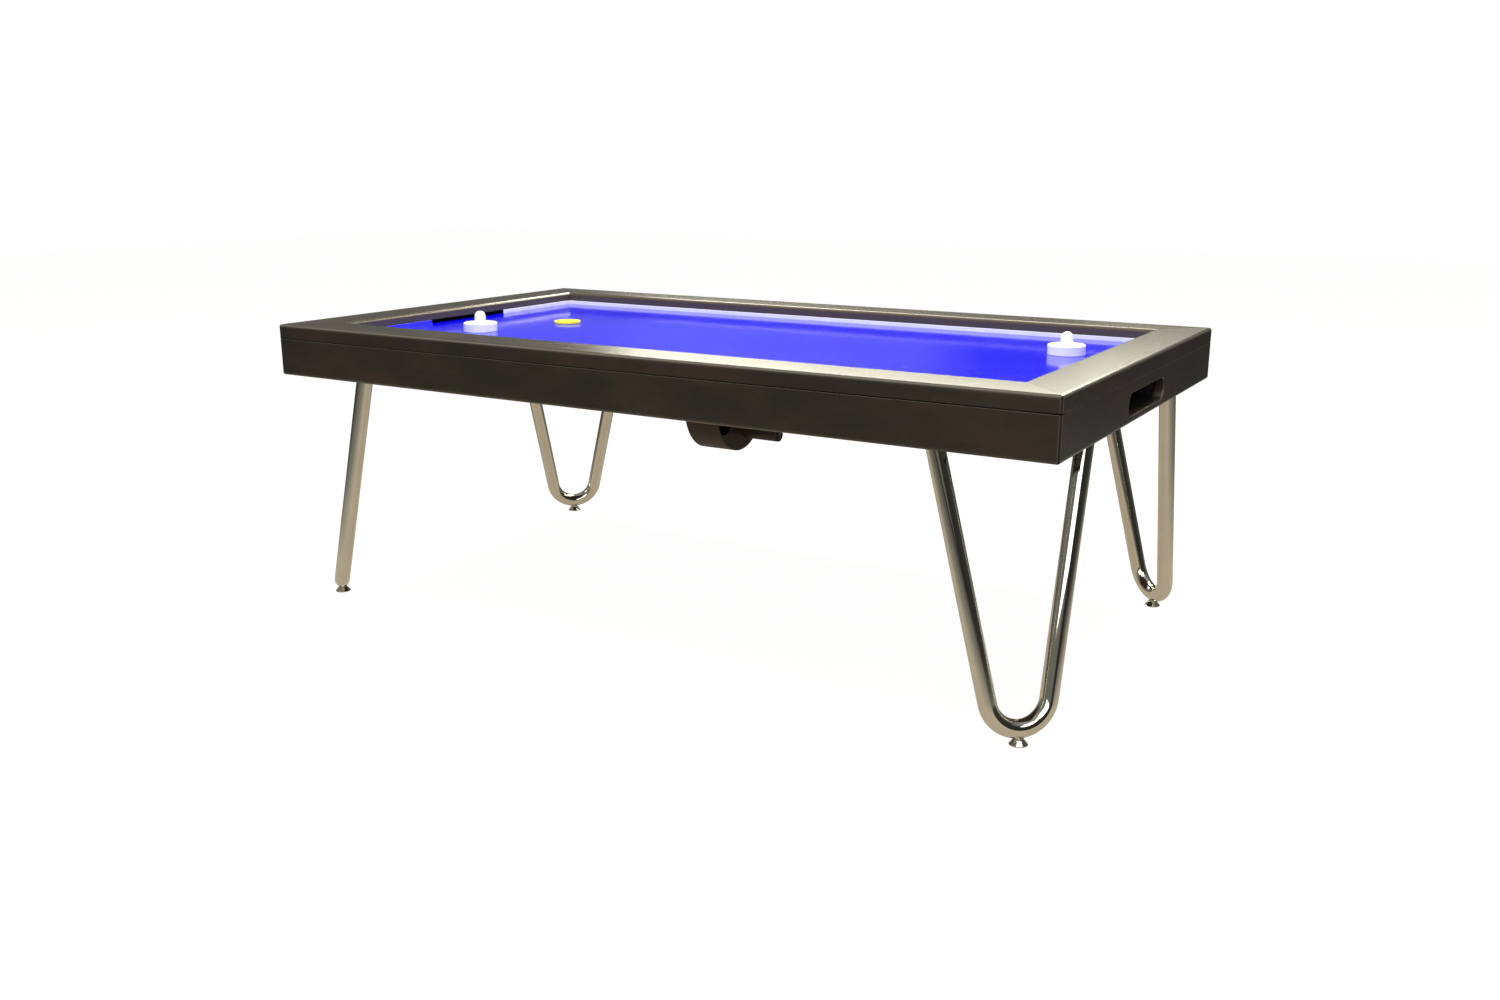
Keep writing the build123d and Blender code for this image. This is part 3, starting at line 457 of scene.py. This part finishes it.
def make_world():
    """Studio surroundings: grey walls at eye level, lighter overhead, plain white behind the table."""
    world = bpy.data.worlds.new("studio")
    world.use_nodes = True
    tree = world.node_tree
    tree.nodes.clear()
    direction = add_node(tree, "TexCoord").outputs["Generated"]
    axes = add_node(tree, "SeparateXYZ", {"Vector": direction})
    angle = math(tree, "ARCTAN2", axes.outputs["X"], axes.outputs["Y"])
    turn = math(tree, "ADD", math(tree, "DIVIDE", angle, 2 * pi), 0.5)
    stops = []
    for azimuth, grey in wall_greys:
        stops.append(((azimuth + 180) / 360, (grey, grey * 0.97, grey * 0.89)))
    walls = ramp(tree, turn, stops)
    height = spread(tree, axes.outputs["Z"], 0.0, 1.0, 0.5, 0.9)
    colour = mix(tree, height, walls, ceiling)
    surroundings = add_node(tree, "Background", {"Color": colour, "Strength": 1.0})
    backdrop = add_node(tree, "Background", {"Color": (1, 1, 1, 1), "Strength": 1.0})
    seen = add_node(tree, "LightPath").outputs["Is Camera Ray"]
    choice = add_node(tree, "MixShader", {"Fac": seen, 1: surroundings.outputs[0], 2: backdrop.outputs[0]})
    output = add_node(tree, "OutputWorld")
    tree.links.new(choice.outputs[0], output.inputs["Surface"])
    bpy.context.scene.world = world


# The boxes along the back, which the rail tops mirror: name, X, width and radiance.
back_boxes = (("back_wide", -0.47, 2.15, 13), ("back_end", 0.90, 0.6, 10), ("back_left", -1.08, 0.96, 7),
              ("back_right", 0.30, 0.42, 12))


def make_lights():
    """Soft boxes: one overhead, five low ones behind the back rail, and two windows beyond the front."""
    warm = (1.0, 0.96, 0.80)
    white = (1, 1, 1)
    soft_box("overhead", (0, 0, 3.6), (0, 0, 0), 4.0, 3.0, 6.2, white, glossy=False)
    for name, x, width, radiance in back_boxes:
        soft_box(name, (x, 1.5, 1.65), (x, -0.5, 0.9), width, 0.5, radiance, warm, diffuse=False)
    soft_box("back_far", (0.35, 3.0, 1.75), (0.9, 0, 0.75), 0.7, 0.6, 3, warm, diffuse=False)
    soft_box("window", around(158, 7.0, 5.0), (0, 0, 5.0), 5.5, 7.4, 3.0, white)
    soft_box("high_window", around(118, 7.0, 7.2), (0, 0, 7.2), 4.0, 6.0, 3.0, white, diffuse=False)


make_camera()
make_floor()
make_world()
make_lights()
dress_frame()
make_playfield()
bpy.context.scene.view_settings.view_transform = "Standard"
